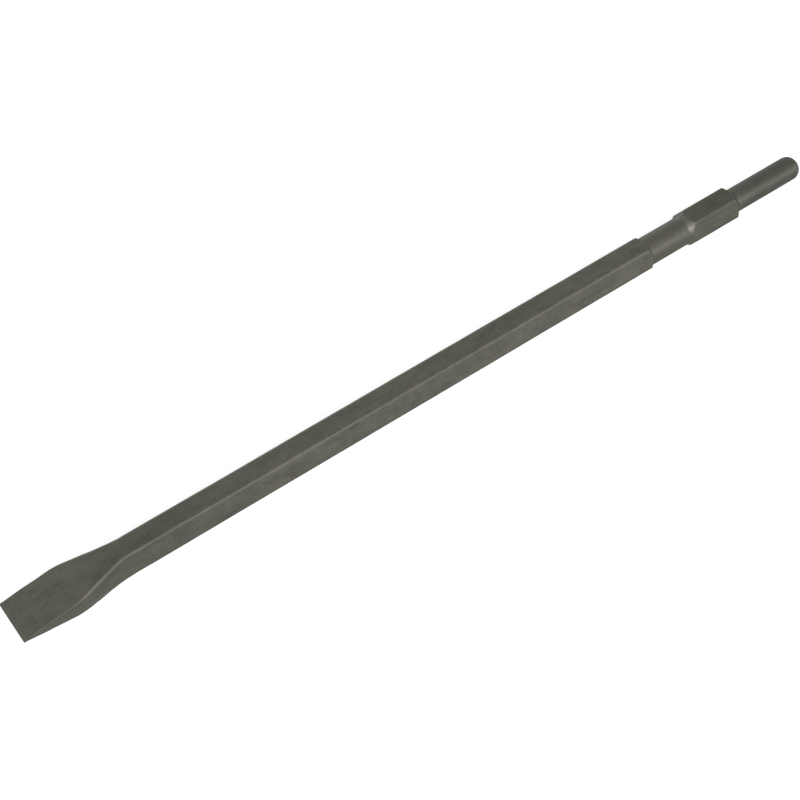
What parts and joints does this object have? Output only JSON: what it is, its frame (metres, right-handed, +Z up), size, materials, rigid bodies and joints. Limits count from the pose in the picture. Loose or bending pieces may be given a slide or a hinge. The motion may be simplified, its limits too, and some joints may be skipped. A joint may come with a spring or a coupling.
{
  "type": "hex shank flat chisel",
  "caption": "Long flat chisel steel for a demolition hammer: hexagonal bar forged to a flat wedge blade, with a turned retaining neck, a drive collar and a round striking end.",
  "frame": {"origin": "below the middle of the chisel, in the plane of the bar's lower flat on which it lies", "axes": "+X along the bar from the cutting edge to the striking end, +Y across the blade, +Z up"},
  "size_m": [0.45, 0.0222, 0.017],
  "materials": {
    "forged_steel": "olive-grey heat-treatment scale on forged and rolled tool steel, satin, finely pitted, a little paler along the corners and on the shoulder in front of the collar, darker at the striking end"
  },
  "bodies": {
    "root": {"chisel": "forged_steel"}
  },
  "joints": []
}
